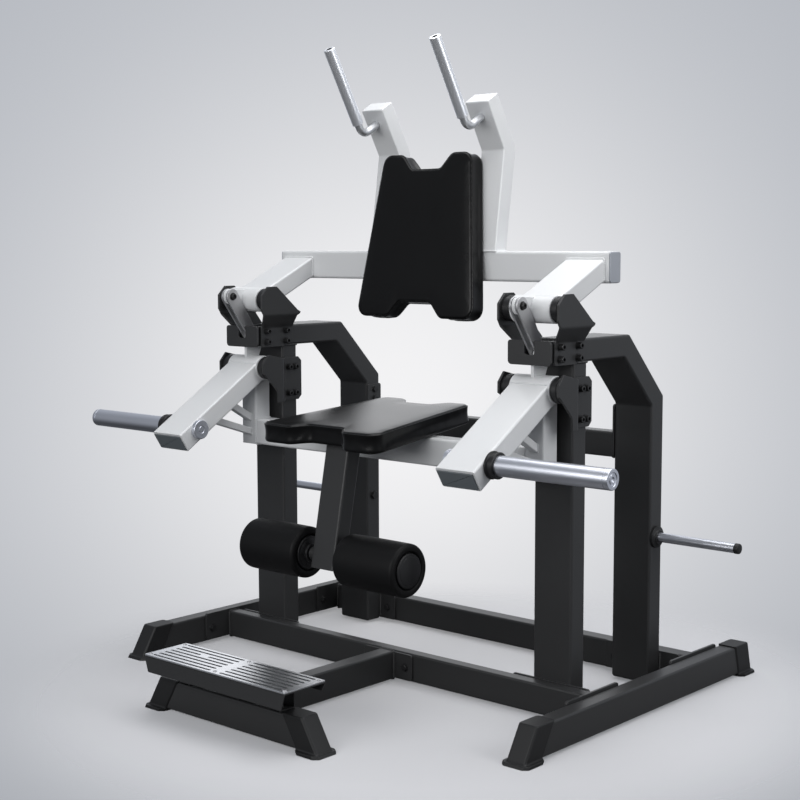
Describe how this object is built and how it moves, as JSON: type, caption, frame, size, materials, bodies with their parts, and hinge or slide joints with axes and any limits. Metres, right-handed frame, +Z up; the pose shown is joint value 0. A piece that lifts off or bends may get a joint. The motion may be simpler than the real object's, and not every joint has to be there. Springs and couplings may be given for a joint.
{
  "type": "plate-loaded crunch machine",
  "caption": "Plate-loaded abdominal crunch machine: a tube frame with a hinged back-pad frame, handles, and a linked seat frame with leg rollers and plate horns.",
  "frame": {"origin": "on the floor, under the middle of the machine's box", "axes": "+X to the right for someone in front of the step, +Y to the rear, +Z up"},
  "size_m": [1.856, 1.4017, 1.76],
  "materials": {
    "charcoal_paint": "matte charcoal powder coat",
    "white_paint": "satin silver-white powder coat",
    "chrome": "polished chrome plate",
    "steel": "satin bare steel",
    "aluminium": "satin aluminium tread",
    "rubber": "matte black rubber",
    "vinyl": "black upholstery vinyl, satin",
    "foam": "black skinned foam",
    "slate_plastic": "dark slate plastic cap",
    "grey_plastic": "grey plastic cap"
  },
  "bodies": {
    "base": {"arch_left": "charcoal_paint", "arch_right": "charcoal_paint", "footplate": "aluminium", "footplate_tray": "charcoal_paint", "front_cross_member": "charcoal_paint", "front_post_left": "charcoal_paint", "front_post_right": "charcoal_paint", "lower_axle_left": "rubber", "lower_axle_right": "rubber", "lower_bracket_left_inner": "charcoal_paint", "lower_bracket_left_outer": "charcoal_paint", "lower_bracket_right_inner": "charcoal_paint", "lower_bracket_right_outer": "charcoal_paint", "rail_foot_front_left": "rubber", "rail_foot_front_right": "rubber", "rail_foot_rear_left": "rubber", "rail_foot_rear_right": "rubber", "rear_beam": "charcoal_paint", "rear_cross_member": "charcoal_paint", "side_rail_left": "charcoal_paint", "side_rail_right": "charcoal_paint", "step_foot_left": "rubber", "step_foot_right": "rubber", "step_frame": "charcoal_paint", "storage_collar_left": "rubber", "storage_collar_right": "rubber", "storage_peg_left": "chrome", "storage_peg_right": "chrome", "upper_axle_left": "rubber", "upper_axle_right": "rubber", "upper_yoke_left": "charcoal_paint", "upper_yoke_right": "charcoal_paint"},
    "upper_frame": {"upper_cross_beam": "white_paint", "back_pad": "vinyl", "beam_cap_left": "grey_plastic", "beam_cap_right": "grey_plastic", "upper_arm_left": "white_paint", "upper_arm_right": "white_paint", "upright_left": "white_paint", "upright_right": "white_paint", "handle_rod_left": "chrome", "handle_rod_right": "chrome"},
    "lower_frame": {"seat_frame": "white_paint", "seat_pad": "vinyl", "roller_post": "charcoal_paint", "weight_arm_left": "white_paint", "weight_arm_right": "white_paint", "arm_cap_left": "slate_plastic", "arm_cap_right": "slate_plastic", "weight_horn_left": "chrome", "weight_horn_right": "chrome", "horn_collar_left": "rubber", "horn_collar_right": "rubber"},
    "link_left": {"link_left": "steel"},
    "roller_left": {"roller_left": "foam"},
    "grip_left": {"handle_grip_left": "chrome"},
    "link_right": {"link_right": "steel"},
    "roller_right": {"roller_right": "foam"},
    "grip_right": {"handle_grip_right": "chrome"}
  },
  "joints": [
    {"name": "upper_hinge", "type": "hinge", "parent": "base", "child": "upper_frame", "pos_m": [0, -0.071, 1.055], "axis": [1, 0, 0], "range_deg": [0, 26]},
    {"name": "lower_hinge", "type": "hinge", "parent": "base", "child": "lower_frame", "pos_m": [0, -0.071, 0.856], "axis": [1, 0, 0], "range_deg": [-22.8, 0]},
    {"name": "link_hinge_left", "type": "hinge", "parent": "upper_frame", "child": "link_left", "pos_m": [-0.527, -0.148, 1.066], "axis": [1, 0, 0], "range_deg": [-10.7, 0]},
    {"name": "roller_spin_left", "type": "hinge", "parent": "lower_frame", "child": "roller_left", "pos_m": [-0.185, -0.27929, 0.38898], "axis": [1, 0, 0], "continuous": true},
    {"name": "grip_spin_left", "type": "hinge", "parent": "upper_frame", "child": "grip_left", "pos_m": [-0.1915, 0.06375, 1.52282], "axis": [0, -0.503, 0.8643], "continuous": true},
    {"name": "link_hinge_right", "type": "hinge", "parent": "upper_frame", "child": "link_right", "pos_m": [0.527, -0.148, 1.066], "axis": [1, 0, 0], "range_deg": [-10.7, 0]},
    {"name": "roller_spin_right", "type": "hinge", "parent": "lower_frame", "child": "roller_right", "pos_m": [0.185, -0.27929, 0.38898], "axis": [1, 0, 0], "continuous": true},
    {"name": "grip_spin_right", "type": "hinge", "parent": "upper_frame", "child": "grip_right", "pos_m": [0.1915, 0.06375, 1.52282], "axis": [0, -0.503, 0.8643], "continuous": true}
  ],
  "couplings": [
    {"joint": "lower_hinge", "follows": "upper_hinge", "ratio": -0.8747},
    {"joint": "link_hinge_left", "follows": "upper_hinge", "ratio": -0.4108},
    {"joint": "link_hinge_right", "follows": "upper_hinge", "ratio": -0.4108}
  ]
}
